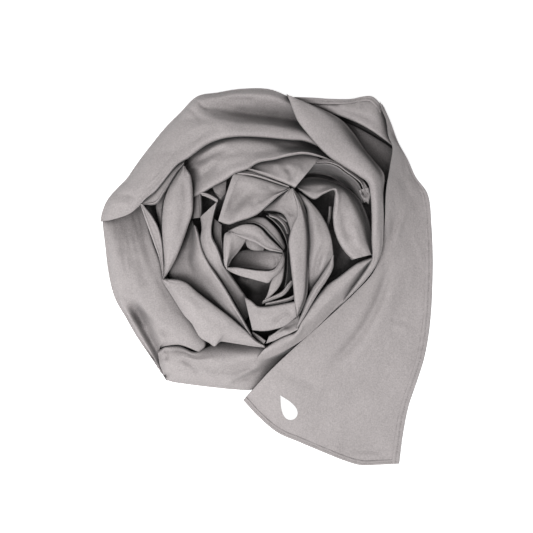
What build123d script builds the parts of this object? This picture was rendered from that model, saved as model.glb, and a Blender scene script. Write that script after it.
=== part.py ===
from build123d import *

import os
from math import cos, radians, sin

# A quick dry towel, loosely coiled into a rosette, with its free end swept round the
# right-hand side.  Millimetres.  Origin: the middle of the coil, on the surface it rests on.
# +Z is up, +X is towards the hemmed long edge, -Y is towards the hemmed end.

# ---------------------------------------------------------------- driving dimensions
PLY = 1.6            # two layers of thin microfibre cloth, pressed flat
HEM_WIDTH = 10.0     # turned edge along the long side
END_HEM_WIDTH = 7.0  # turned edge across the end
HEM_PROUD = 0.4      # how much a turned edge stands above and below the cloth
THREAD = 0.8         # sewing thread, as a raised line
PRINT_SKIN = 0.2     # printed mark in the corner
STITCH_INSET = 1.5   # from a turned edge to its line of stitching
GAP = 2.0            # air between one turn of cloth and the next
HINGE_GAP = 3.0      # strip of cloth left out where the free end bends

OUTER_HEIGHT = 46.0
FOLD_HEIGHT = 58.0
SECOND_HEIGHT = 62.0
THIRD_HEIGHT = 68.0
CORE_HEIGHT = 72.0
CORE_WALL = 14.0     # width of the cloth wrapped round the core's hollow
CORE_FLOOR = 30.0
COLLAR_HEIGHT = 34.0
LEAN = 16.0          # how far a turn's top edge leans in from its foot

# Radii of the coil's outlines, one every 30 degrees anticlockwise from +X.
FOOT_OUTLINE = [184, 204, 228, 240, 231, 219, 231, 228, 236, 214, 158, 154]
SECOND_OUTLINE = [166, 190, 160, 163, 168, 174, 148, 143, 150, 143, 138, 146]
THIRD_OUTLINE = [110, 118, 115, 121, 108, 106, 106, 100, 104, 122, 124, 108]
CORE_OUTLINE = [44, 44, 48, 48, 50, 52, 54, 54, 50, 50, 50, 46]

# The free end is a sheet ruled between cross lines: its left and right ends (x, y, z).
# It narrows to the hemmed corner at the top and fans out towards the end.
SHEET_LINES = [
    ((178, 221, 12), (188, 223, 12)),
    ((188, 190, 16), (207, 187, 12)),
    ((199, 153, 22), (226, 148, 8)),
    ((194, 95, 25), (257, 92, 4)),
    ((188, 15, 26), (263, 20, 1)),
    ((170, -40, 27), (263, -70, 1)),
    ((126, -86, 27), (258, -135, 1)),    # line of the first bend
    ((57, -150, 27), (246, -222, 1)),    # line of the second bend
    ((-22, -231, 6), (210, -326, 1)),    # chord of the hemmed end
]
FIRST_BEND = 6
SECOND_BEND = 7
END_BULGE = 21.0     # the hemmed end bows out from its chord by this much
END_STEPS = 8        # straight runs that make up the bowed end
SHEET_MARGIN = 40.0  # overlap of the ruled surface past the sheet's own outline
SEAM = 0.2           # air between the cloth and its turned edges
ROOM = 6.0           # air between the coil's wall and the sheet's free side
MARK_SIZE = 44.0     # height of the printed drop in the corner
MARK_AT = (44, -240)
MARK_TURN = 30.0     # the mark's tilt, degrees anticlockwise
SHEET = [(Vector(*left), Vector(*right)) for left, right in SHEET_LINES]


# ---------------------------------------------------------------- helpers
def closed_outline(radii, offset, height):
    """A smooth closed outline from one radius every 30 degrees, moved out by offset."""
    step = 360 / len(radii)
    points = [
        (
            (radius + offset) * cos(radians(step * index)),
            (radius + offset) * sin(radians(step * index)),
            height,
        )
        for index, radius in enumerate(radii)
    ]
    return make_face(Edge.make_spline([Vector(*point) for point in points], periodic=True))


def mound(radii, foot_offset, top_offset, low, high):
    """A closed form whose side leans from its foot outline to its top outline."""
    foot = closed_outline(radii, foot_offset, low)
    top = closed_outline(radii, top_offset, high)
    return loft([foot, top], ruled=True)


def wedge(start, end, reach=420.0, height=200.0):
    """A pie slice about the origin, from start to end degrees anticlockwise."""
    middle = 0.5 * (start + end)
    corners = [(0, 0)]
    for angle in (start, 0.5 * (start + middle), middle, 0.5 * (middle + end), end):
        corners.append((reach * cos(radians(angle)), reach * sin(radians(angle))))
    face = make_face(Polyline(*corners, close=True))
    return Pos(0, 0, -10) * extrude(face, amount=height)


def along(start, end, distance):
    """The point that lies a distance past end, on the line from start."""
    return end + (end - start).normalized() * distance


def flat(point):
    """The plan position of a point."""
    return Vector(point.X, point.Y)


def sheet_slab(low, high):
    """The ruled sheet between two heights above its underside, wider than the cloth."""
    lines = list(SHEET)
    before, last = lines[-2], lines[-1]
    lines[-1] = tuple(along(before[side], last[side], SHEET_MARGIN) for side in (0, 1))
    sections = []
    for left, right in lines:
        outer_left = along(right, left, SHEET_MARGIN)
        outer_right = along(left, right, SHEET_MARGIN)
        under, over = Vector(0, 0, low), Vector(0, 0, high)
        corners = (outer_left + under, outer_right + under, outer_right + over, outer_left + over)
        sections.append(make_face(Polyline(*corners, close=True)))
    return loft(sections, ruled=True)


def plan(points, low=-60.0, high=200.0):
    """A prism that stands on a plan outline of straight sides."""
    face = make_face(Polyline(*points, close=True))
    return Pos(0, 0, low) * extrude(face, amount=high - low)


def left_edge(first, last):
    """Plan points down the free side between two cross lines."""
    return [flat(left) for left, right in SHEET[first : last + 1]]


def right_edge(first, last, inset):
    """Plan points down the hemmed long side between two cross lines, set in by inset."""
    return [
        flat(right) + (flat(left) - flat(right)).normalized() * inset
        for left, right in SHEET[first : last + 1]
    ]


def end_edge(inset, right_inset=0.0):
    """Plan points along the bowed end, left to right, set in from its edge by inset."""
    left, right = (flat(point) for point in SHEET[-1])
    chord = right - left
    outward = Vector(chord.Y, -chord.X).normalized()
    final = 1 - right_inset / chord.length
    points = []
    for step in range(END_STEPS + 1):
        share = final * step / END_STEPS
        bow = END_BULGE * 4 * share * (1 - share)
        points.append(left + chord * share + outward * (bow - inset))
    return points


def bend_cut(index):
    """The narrow prism that separates two lengths of the sheet along a cross line."""
    left, right = SHEET[index]
    start = flat(along(right, left, SHEET_MARGIN))
    finish = flat(along(left, right, SHEET_MARGIN))
    side = Vector(finish.Y - start.Y, start.X - finish.X).normalized() * (HINGE_GAP / 2)
    return plan([start + side, finish + side, finish - side, start - side])


def write(name, shape):
    """Write one node, made of one or more separate solids."""
    solids = shape.solids()
    body = solids[0] if len(solids) == 1 else Compound(children=list(solids))
    export_step(body, os.path.join("parts", name + ".step"))


# ---------------------------------------------------------------- the coil
def sheet_room():
    """The space kept free for the sheet to lie in and to be lifted out of."""
    last = len(SHEET) - 1
    left = [point + Vector(-ROOM, ROOM) for point in left_edge(1, last)]
    right = [point + Vector(10 * ROOM, 0) for point in right_edge(1, last, 0)]
    outline = left + [left[-1] + Vector(-60, -90)] + right[::-1]
    return plan(outline) & sheet_slab(-GAP, 160.0)


def ring(outer_radii, inner_radii, lean, height):
    """One turn of cloth as a wall that leans in towards the core."""
    outside = mound(outer_radii, 0, -lean, 0, height)
    inside = mound(inner_radii, GAP, GAP, -1, height + 1)
    return outside - inside


def coil_turns():
    """The turns of cloth round the core, outermost first."""
    room = sheet_room()
    outer = ring(FOOT_OUTLINE, SECOND_OUTLINE, LEAN, OUTER_HEIGHT)
    fold = ring(FOOT_OUTLINE, SECOND_OUTLINE, LEAN, FOLD_HEIGHT)
    second = ring(SECOND_OUTLINE, THIRD_OUTLINE, LEAN / 2, SECOND_HEIGHT)
    third = ring(THIRD_OUTLINE, CORE_OUTLINE, LEAN / 2, THIRD_HEIGHT)
    return {
        "outer_turn": (outer & wedge(78, 296)) - room,
        "over_fold": (fold & wedge(-32, 77)) - room,
        "second_turn_upper": (second & wedge(20, 199)) - room,
        "second_turn_lower": (second & wedge(200, 379)) - room,
        "third_turn_left": third & wedge(95, 269),
        "third_turn_right": third & wedge(-90, 94),
        "under_layer": extrude(closed_outline(CORE_OUTLINE, GAP, 0), amount=PLY),
    }


def collar():
    """The back wall of cloth behind the over-fold, and the turned edge at its corner."""
    outer = [(52, 226), (100, 225), (140, 225), (170, 226)]
    inner = [(180, 183), (156, 194), (114, 211), (70, 226)]
    clear_of = mound(FOOT_OUTLINE, GAP, GAP, -1, FOLD_HEIGHT + 1)
    clear_of += plan([point + Vector(-GAP, 0) for point in left_edge(0, 2)] + [(260, 150), (260, 240)])
    wall = plan(outer + inner, 0.0, COLLAR_HEIGHT) - clear_of
    hem = plan([(132, 216), (132, 225), (140, 225), (170, 226), (172, 217)], COLLAR_HEIGHT, COLLAR_HEIGHT + PLY)
    return {"collar": wall, "collar_hem": hem - clear_of}


# ---------------------------------------------------------------- the core
def core_pieces():
    """The wrapped middle of the rosette and the small flap inside it."""
    body = mound(CORE_OUTLINE, 0, -LEAN / 2, PLY + SEAM, CORE_HEIGHT)
    hollow = mound(CORE_OUTLINE, -CORE_WALL, -CORE_WALL + 3, CORE_FLOOR, CORE_HEIGHT + 1)
    flap = mound(CORE_OUTLINE, -CORE_WALL - GAP, -CORE_WALL - 3, CORE_FLOOR + 1, CORE_HEIGHT - 12)
    return {"core_wrap": body - hollow, "core_flap": flap & wedge(180, 359)}


# ---------------------------------------------------------------- the free end
def side_band(near, far):
    """A tall band along the hemmed long side, between two distances in from its edge."""
    last = len(SHEET) - 1
    return plan(right_edge(0, last, far) + right_edge(0, last, near)[::-1])


def end_band(near, far, short=0.0):
    """A tall band along the bowed end, between two distances in from its edge."""
    return plan(end_edge(far, short) + end_edge(near, short)[::-1])


def lengths(name, strip):
    """Split a strip of the sheet where it bends, and name its lengths."""
    pieces = (strip - bend_cut(FIRST_BEND) - bend_cut(SECOND_BEND)).solids()
    pieces = sorted(pieces, key=lambda solid: -solid.center().Y)
    return {name + "_" + place: solid for place, solid in zip(("root", "middle", "end"), pieces)}


def sheet_pieces():
    """The free end's cloth, its turned edges and their stitching."""
    last = len(SHEET) - 1
    outline = plan(left_edge(0, last)[:-1] + end_edge(0) + right_edge(0, last - 1, 0)[::-1])
    side_hem = side_band(-SHEET_MARGIN / 2, HEM_WIDTH)
    side_clear = side_band(-SHEET_MARGIN / 2, HEM_WIDTH + SEAM)
    end_clear = end_band(-SHEET_MARGIN / 2, END_HEM_WIDTH + SEAM)
    cloth = sheet_slab(0, PLY)
    hem = sheet_slab(-HEM_PROUD, PLY + HEM_PROUD)
    thread = sheet_slab(PLY + SEAM / 4, PLY + THREAD)
    skin = sheet_slab(PLY + SEAM / 4, PLY + PRINT_SKIN)
    side_line = HEM_WIDTH + STITCH_INSET
    end_line = END_HEM_WIDTH + STITCH_INSET
    side_thread = (side_band(side_line, side_line + THREAD) & thread & outline) - end_clear
    nodes = lengths("tail", (outline & cloth) - side_clear - end_clear)
    nodes.update(lengths("side_hem", outline & hem & side_hem))
    nodes.update(lengths("side_stitching", side_thread))
    nodes["end_hem"] = (outline & hem & end_band(0, END_HEM_WIDTH)) - side_clear
    nodes["end_stitching"] = end_band(end_line, end_line + THREAD, 2 * HEM_WIDTH) & thread
    nodes["corner_mark"] = drop_mark() & skin
    return nodes


def drop_mark():
    """A plain water drop: an open outline with a small solid drop inside it."""
    whole = drop_prism(MARK_SIZE)
    return (whole - drop_prism(MARK_SIZE * 0.78)) + drop_prism(MARK_SIZE * 0.42)


def drop_prism(size):
    """A tall prism with the plan of a drop: a round belly drawn out to a point."""
    belly = size * 0.33
    tip = size * 0.67
    tangent = 0.5 * belly
    side = 0.866 * belly
    outline = Circle(belly) + make_face(Polyline((-side, tangent), (0, tip), (side, tangent), close=True))
    return Pos(MARK_AT[0], MARK_AT[1], -60) * Rot(0, 0, MARK_TURN) * extrude(outline, amount=260)


os.makedirs("parts", exist_ok=True)
all_nodes = {}
all_nodes.update(coil_turns())
all_nodes.update(collar())
all_nodes.update(core_pieces())
all_nodes.update(sheet_pieces())
for node_name, node_shape in all_nodes.items():
    write(node_name, node_shape)
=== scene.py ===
import math

import bmesh
import bpy
import numpy as np
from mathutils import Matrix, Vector


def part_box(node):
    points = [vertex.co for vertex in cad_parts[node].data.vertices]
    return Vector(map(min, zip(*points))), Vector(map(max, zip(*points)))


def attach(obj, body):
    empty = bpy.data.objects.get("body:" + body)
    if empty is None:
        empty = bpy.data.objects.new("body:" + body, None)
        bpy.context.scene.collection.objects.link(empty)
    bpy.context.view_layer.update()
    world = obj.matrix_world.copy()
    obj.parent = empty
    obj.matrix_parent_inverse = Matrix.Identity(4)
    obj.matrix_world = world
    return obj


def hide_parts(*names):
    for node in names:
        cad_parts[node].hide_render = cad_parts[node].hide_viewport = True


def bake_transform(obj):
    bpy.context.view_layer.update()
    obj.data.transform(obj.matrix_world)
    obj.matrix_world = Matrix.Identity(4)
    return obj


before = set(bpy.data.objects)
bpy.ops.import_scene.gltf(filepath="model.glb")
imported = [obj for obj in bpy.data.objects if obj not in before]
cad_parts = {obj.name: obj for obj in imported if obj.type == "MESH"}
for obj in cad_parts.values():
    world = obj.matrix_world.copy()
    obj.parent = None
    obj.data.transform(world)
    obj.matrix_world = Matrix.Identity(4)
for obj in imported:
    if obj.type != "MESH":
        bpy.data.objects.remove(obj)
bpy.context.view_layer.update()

# A quick dry towel, coiled into a rosette with its hemmed free end swept round one side.
# All lines below are in millimetres in the part's frame: x towards the hemmed long side,
# y away from the hemmed end, z up.
MM = 0.001
CORE_HEIGHT = 72.0
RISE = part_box("core_wrap")[1][2] / (CORE_HEIGHT * MM)   # fold heights follow the CAD core
CLOTH = 0.9            # thickness of one layer
FLOOR_CLEAR = 0.4      # lowest any cloth may lie
MESH_STEP = 2.0        # spacing of the mesh along a fold
RIM_ANGLE = math.radians(55)    # sharper edges than this are a layer's rims, and stay crisp
TINY = 1e-6
PLAN = (1, 1, 0)       # leaves heights out
UP = np.array([0.0, 0.0, 1.0])


# ---------------------------------------------------------------- curves and sheets
def joined(keys, samples):
    """Rows through key rows, smoothly joined; samples says how many rows each span gets."""
    keys = np.asarray(keys, float)
    padded = np.concatenate([[2 * keys[0] - keys[1]], keys, [2 * keys[-1] - keys[-2]]])
    rows = []
    for i, count in enumerate(samples):
        p0, p1, p2, p3 = padded[i:i + 4]
        k0, k1, k2 = (np.sqrt(np.linalg.norm(b - a, axis=-1, keepdims=True) + 1e-3)
                      for a, b in ((p0, p1), (p1, p2), (p2, p3)))
        m1 = (p2 - p1) + k1 * ((p1 - p0) / k0 - (p2 - p0) / (k0 + k1))
        m2 = (p2 - p1) + k1 * ((p3 - p2) / k2 - (p3 - p1) / (k1 + k2))
        for s in np.linspace(0, 1, count, endpoint=False):
            rows.append((2 * s**3 - 3 * s**2 + 1) * p1 + (s**3 - 2 * s**2 + s) * m1
                        + (3 * s**2 - 2 * s**3) * p2 + (s**3 - s**2) * m2)
    rows.append(keys[-1])
    return np.array(rows)


def walked(line):
    """Distance walked along a line at each of its points."""
    return np.concatenate([[0], np.cumsum(np.linalg.norm(np.diff(line, axis=0), axis=1))])


def unit(steps, guard=0.0):
    """Each step at length one; guard keeps steps of no length from failing."""
    return steps / (np.linalg.norm(steps, axis=-1, keepdims=True) + guard)


def spline(points, count):
    """A smooth line through points, as count evenly spaced points."""
    fine = joined(points, [16] * (len(points) - 1))
    steps = walked(fine)
    wanted = np.linspace(0, steps[-1], count)
    return np.column_stack([np.interp(wanted, steps, fine[:, k]) for k in range(fine.shape[1])])


def smooth_noise(u, v, seed):
    """Soft waves between -1 and 1 that change over about one step of u and of v."""
    size = 64
    table = np.random.default_rng(seed).uniform(-1, 1, (size, size))
    iu, iv = np.floor(u).astype(int), np.floor(v).astype(int)
    fu, fv = u - iu, v - iv
    fu, fv = fu * fu * (3 - 2 * fu), fv * fv * (3 - 2 * fv)
    low = table[iu % size, iv % size] * (1 - fv) + table[iu % size, (iv + 1) % size] * fv
    high = table[(iu + 1) % size, iv % size] * (1 - fv) + table[(iu + 1) % size, (iv + 1) % size] * fv
    return low * (1 - fu) + high * fu


def path_distance(flat, path):
    """How far each plan point is from a plan path, and how far along the path it is (0 to 1)."""
    best = np.full(len(flat), 1e9)
    share = np.zeros(len(flat))
    for i in range(len(path) - 1):
        a, run = path[i], path[i + 1] - path[i]
        s = np.clip(((flat - a) @ run) / (run @ run + 1e-9), 0, 1)
        gap = np.linalg.norm(flat - (a + s[:, None] * run), axis=1)
        share = np.where(gap < best, (i + s) / (len(path) - 1), share)
        best = np.minimum(gap, best)
    return best, share


def press(grid, points, width, depth, fade=(0.25, 0.25)):
    """Press a soft groove (depth below 0) or raise a soft ridge along a plan path.

    fade says over which share of the path it starts and ends.
    """
    path = spline(points, 24)
    flat = grid.reshape(-1, 3)
    gap, share = path_distance(flat[:, :2], path)
    strength = np.clip(np.minimum(share / fade[0], (1 - share) / fade[1]), 0, 1)
    strength = strength * strength * (3 - 2 * strength)
    flat[:, 2] += depth * RISE * strength * np.exp(-(gap / width) ** 2)
    return flat.reshape(grid.shape)


def wrinkle(grid, seed, amount, long=80.0, short=13.0):
    """Uneven ripples along a fold, as thin cloth keeps after it is folded."""
    along = walked(grid[grid.shape[0] // 2])
    across = walked(grid[:, grid.shape[1] // 2])
    u = np.broadcast_to(along[None, :], grid.shape[:2]) / long
    v = np.broadcast_to(across[:, None], grid.shape[:2]) / short
    broad = smooth_noise(u + 5, v + 0.6 * u, seed)
    fine = smooth_noise(2.7 * u, 2.2 * v - u + 20, seed + 1)
    grid = grid.copy()
    grid[..., 2] += amount * (broad + 0.45 * fine)
    return grid


def skirt(edge, inward, drop, tuck, roll):
    """The rows from a fold's hidden foot up to its rolled edge."""
    down = UP * drop * RISE
    return [edge + inward * tuck - down, edge + inward * 0.6 - down * 0.45, edge - UP * roll * 0.35]


SKIRT_TUCKS = (3, 4)       # how far the two skirts of a fold slant back under it
SKIRT_SPANS = [4, 4, 5]    # mesh rows from a skirt's foot up to the fold


def fold_grid(rails, crown=5.0, drops=(22, 30), roll=3.5, ends=(0, 0)):
    """One fold of cloth through its rails, with both long edges rolled down out of sight.

    The first and last rails are the edges as seen from above.  With two rails only,
    crown is how far the cloth stands above a straight line between them.  drops says
    how far each edge turns down, and ends does it for the ends.
    """
    lengths = [walked(spline(rail, 60))[-1] for rail in rails]
    along = int(max(18, max(lengths) / MESH_STEP))
    lines = [spline(rail, along) * (1, 1, RISE) for rail in rails]
    a, b = lines[0], lines[-1]
    inward = [unit(run * PLAN, TINY) for run in (lines[1] - a, lines[-2] - b)]
    width = np.linalg.norm((b - a)[:, :2], axis=1, keepdims=True)
    turn = np.minimum(roll, 0.3 * width)
    if len(rails) == 2:
        rise = crown * RISE * np.clip(width / 40, 0.15, 1)
        inner = [a + (b - a) * s + UP * rise * 4 * s * (1 - s) for s in (0.25, 0.5, 0.75)]
    else:
        inner = lines[1:-1]
    near_a = a + inward[0] * turn * 0.8 + UP * 0.4 * turn
    near_b = b + inward[1] * turn * 0.8 + UP * 0.4 * turn
    keys = skirt(a, inward[0], drops[0], SKIRT_TUCKS[0], turn) + [near_a] + inner
    keys += [near_b] + skirt(b, inward[1], drops[1], SKIRT_TUCKS[1], turn)[::-1]
    spans = [max(3, int(np.median(np.linalg.norm(q - p, axis=1)) / MESH_STEP))
             for p, q in zip(keys[3:-4], keys[4:-3])]
    return roll_ends(joined(keys, SKIRT_SPANS + spans + SKIRT_SPANS[::-1]), ends)


def roll_ends(grid, ends):
    """Turn the first and the last columns of a fold down, where its end is in sight."""
    for first, drop in zip((True, False), ends):
        if not drop:
            continue
        edge = grid[:, 0 if first else -1]
        inward = unit((grid[:, 3 if first else -4] - edge) * PLAN, TINY)
        turned = [edge + inward * back - UP * drop * RISE * share
                  for share, back in ((0.12, -0.5), (0.45, 0.2), (1.0, 2.5))]
        turned = [row[:, None, :] for row in turned]
        grid = np.concatenate(turned[::-1] + [grid] if first else [grid] + turned, axis=1)
    return grid


# ---------------------------------------------------------------- objects
def placed(name, data):
    """A new object in the scene with the given mesh, lamp or camera."""
    item = bpy.data.objects.new(name, data)
    bpy.context.scene.collection.objects.link(item)
    return item


def apply_modifiers(piece):
    """Replace an object's mesh with the one its modifiers make."""
    evaluated = piece.evaluated_get(bpy.context.evaluated_depsgraph_get())
    mesh = bpy.data.meshes.new_from_object(evaluated)
    piece.modifiers.clear()
    old = piece.data
    piece.data = mesh
    bpy.data.meshes.remove(old)


def layer_object(name, verts, faces, thickness):
    """An object from a sheet of faces, which it thickens downwards; verts are in millimetres."""
    mesh = bpy.data.meshes.new(name)
    mesh.from_pydata((verts * MM).tolist(), [], faces)
    mesh.update()
    if sum(face.normal.z * face.area for face in mesh.polygons) < 0:
        mesh.flip_normals()
    piece = placed(name, mesh)
    solid = piece.modifiers.new("layer", "SOLIDIFY")
    solid.thickness = thickness * MM
    solid.offset = -1
    apply_modifiers(piece)
    return piece


def smooth_with_rims(mesh):
    """Shade a cloth mesh smoothly, but keep the rims of its layer crisp."""
    mesh.polygons.foreach_set("use_smooth", [True] * len(mesh.polygons))
    work = bmesh.new()
    work.from_mesh(mesh)
    for edge in work.edges:
        edge.smooth = len(edge.link_faces) == 2 and edge.calc_face_angle() < RIM_ANGLE
    work.to_mesh(mesh)
    work.free()


def grid_object(name, grid, material):
    """A cloth object from a grid of points, given the cloth's thickness."""
    grid = grid.copy()
    grid[..., 2] = np.maximum(grid[..., 2], FLOOR_CLEAR + CLOTH)
    rows, columns = grid.shape[:2]
    corner = (np.arange(rows - 1)[:, None] * columns + np.arange(columns - 1)).reshape(-1, 1)
    faces = corner + np.array([0, 1, columns + 1, columns])
    piece = layer_object(name, grid.reshape(-1, 3), faces.tolist(), CLOTH)
    smooth_with_rims(piece.data)
    piece.data.materials.append(material)
    return piece


def stand_for(nodes):
    """Hide the CAD nodes a piece stands for."""
    for node in nodes:
        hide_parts(node)


def settle(piece, body, nodes):
    """Let a piece move with one body, and hide the CAD nodes it stands for."""
    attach(piece, body)
    stand_for(nodes)


# ---------------------------------------------------------------- materials
# Painted shade: within this reach, ambient occlusion darkens the cloth's colour.
CREVICE_REACH = 0.045      # how near other folds must stand to darken the cloth, metres
WEAVE_PITCH = 0.0008       # spacing of the threads, metres
CLOUD, CRUMPLE, GRAIN, SPECKS = 16.0, 75.0, 480.0, 650.0    # noise scales, coarse to fine
GRAIN_SHARE = 0.75         # how much of the uneven tone is fine grain
MIX_FLOATS, MIX_COLOURS = (2, 3), (6, 7)    # the Mix node's two sockets for each kind of value


def node_maker(material):
    """Short helpers for one material's node tree: add a node, and link two nodes."""
    material.use_nodes = True
    tree = material.node_tree
    tree.nodes.clear()

    def make(kind, **values):
        node = tree.nodes.new("ShaderNode" + kind)
        for key, value in values.items():
            if key in node.inputs:
                node.inputs[key].default_value = value
            else:
                setattr(node, key, value)
        return node

    def link(source, output, target, socket):
        tree.links.new(source.outputs[output], target.inputs[socket])

    return make, link


def new_material(name, specular):
    """A material with a surface shader, its object coordinates and its node helpers."""
    material = bpy.data.materials.new(name)
    make, link = node_maker(material)
    shader = make("BsdfPrincipled")
    shader.inputs["Specular IOR Level"].default_value = specular
    link(shader, "BSDF", make("OutputMaterial"), "Surface")
    return material, make, link, shader


def noise(make, link, place, scale, detail, roughness):
    """A noise texture in the object's own coordinates."""
    texture = make("TexNoise", Scale=scale, Detail=detail, Roughness=roughness)
    link(place, "Object", texture, "Vector")
    return texture


def spread(make, link, source, low, high):
    """Map a 0 to 1 value onto low to high."""
    node = make("MapRange")
    node.inputs["To Min"].default_value = low
    node.inputs["To Max"].default_value = high
    link(source, 0, node, "Value")
    return node


def ramp(make, link, source, start, end, low_colour, high_colour):
    """Turn values from start to end into the colours between two colours."""
    tones = make("ValToRGB")
    low, high = tones.color_ramp.elements
    low.position, high.position = start, end
    low.color, high.color = low_colour, high_colour
    link(source, 0, tones, "Fac")
    return tones


def bumped(make, link, source, strength, distance, below=None):
    """A bump from a height value, on top of the bump below it."""
    node = make("Bump", Strength=strength, Distance=distance)
    link(source, 0, node, "Height")
    if below:
        link(below, "Normal", node, "Normal")
    return node


def painted_crevice_shade(make, link, colour, depth):
    """Paint shade into a colour: darken it where other folds stand close round it, by ambient occlusion
    raised to the power depth.
    """
    hollow = make("AmbientOcclusion", samples=6, Distance=CREVICE_REACH)
    power = make("Math", operation="POWER")
    power.inputs[1].default_value = depth
    link(hollow, "AO", power, 0)
    mix = make("Mix", data_type="RGBA", blend_type="MULTIPLY")
    mix.inputs[0].default_value = 1.0
    link(colour, 0, mix, MIX_COLOURS[0])
    link(power, 0, mix, MIX_COLOURS[1])
    return mix


def weave_height(make, link, place, pitch):
    """Two crossed sets of fine threads, pitch metres apart."""
    total = make("Math", operation="ADD")
    for slot, direction in enumerate(("X", "Y")):
        wave = make("TexWave", wave_type="BANDS", bands_direction=direction, Scale=1 / (2 * math.pi * pitch),
                    Distortion=2.5)
        wave.inputs["Detail Scale"].default_value = 2.0
        link(place, "Object", wave, "Vector")
        link(wave, "Fac", total, slot)
    return total


def cloth_material(name, tone, pitch=WEAVE_PITCH, contrast=0.17, sheen=0.2, depth=1.3):
    """Brushed microfibre: uneven tone, painted shade darkening its colour in crevices, a fine two-way weave,
    soft wrinkles and sheen.
    """
    material, make, link, shader = new_material(name, 0.2)
    shader.inputs["Sheen Weight"].default_value = sheen
    shader.inputs["Sheen Roughness"].default_value = 0.5
    place = make("TexCoord")
    cloud = noise(make, link, place, CLOUD, detail=5.0, roughness=0.6)
    grain = noise(make, link, place, GRAIN, detail=3.0, roughness=0.7)
    crumple = noise(make, link, place, CRUMPLE, detail=3.0, roughness=0.55)
    both = make("Mix", data_type="FLOAT")
    both.inputs[0].default_value = GRAIN_SHARE
    link(cloud, "Fac", both, MIX_FLOATS[0])
    link(grain, "Fac", both, MIX_FLOATS[1])
    dark, light = ([channel * change for channel in tone] + [1] for change in (1 - contrast, 1 + contrast))
    tones = ramp(make, link, both, 0.36, 0.64, dark, light)
    # The base colour carries painted shade where other folds stand close.
    link(painted_crevice_shade(make, link, tones, depth), 2, shader, "Base Color")
    link(spread(make, link, cloud, 0.55, 0.8), "Result", shader, "Roughness")
    weave = bumped(make, link, weave_height(make, link, place, pitch), strength=0.3, distance=0.0002)
    nap = bumped(make, link, grain, strength=0.45, distance=0.0008, below=weave)
    soft = bumped(make, link, crumple, strength=0.4, distance=0.002, below=nap)
    link(soft, "Normal", shader, "Normal")
    return material


def print_material(name):
    """A thin white screen print that lets the weave show through, worn in specks."""
    material, make, link, shader = new_material(name, 0.35)
    place = make("TexCoord")
    specks = noise(make, link, place, SPECKS, detail=3.0, roughness=0.6)
    tones = ramp(make, link, specks, 0.28, 0.4, (0.74, 0.72, 0.72, 1), (0.9, 0.9, 0.9, 1))
    link(tones, "Color", shader, "Base Color")
    link(spread(make, link, specks, 0.45, 0.65), "Result", shader, "Roughness")
    weave = bumped(make, link, weave_height(make, link, place, WEAVE_PITCH), strength=0.4, distance=0.0002)
    link(weave, "Normal", shader, "Normal")
    return material


TAUPE = (0.425, 0.392, 0.391)


def toned(share):
    """The cloth's own colour, darker or lighter."""
    return [share * channel for channel in TAUPE]


cloth = cloth_material("microfibre", TAUPE)
# Painted shade: the cloth at 0.7 of its tone and with stronger painted crevice shade, for the layer deep
# under the coil.
painted_shade_cloth = cloth_material("microfibre_underneath_painted_shade", toned(0.7), depth=2.0)
hem_cloth = cloth_material("hem_microfibre", toned(0.95), pitch=0.0011, contrast=0.1)
thread = cloth_material("sewing_thread", toned(1.1), pitch=0.0004, sheen=0.35, depth=0.8)
screen_print = print_material("white_screen_print")


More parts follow.
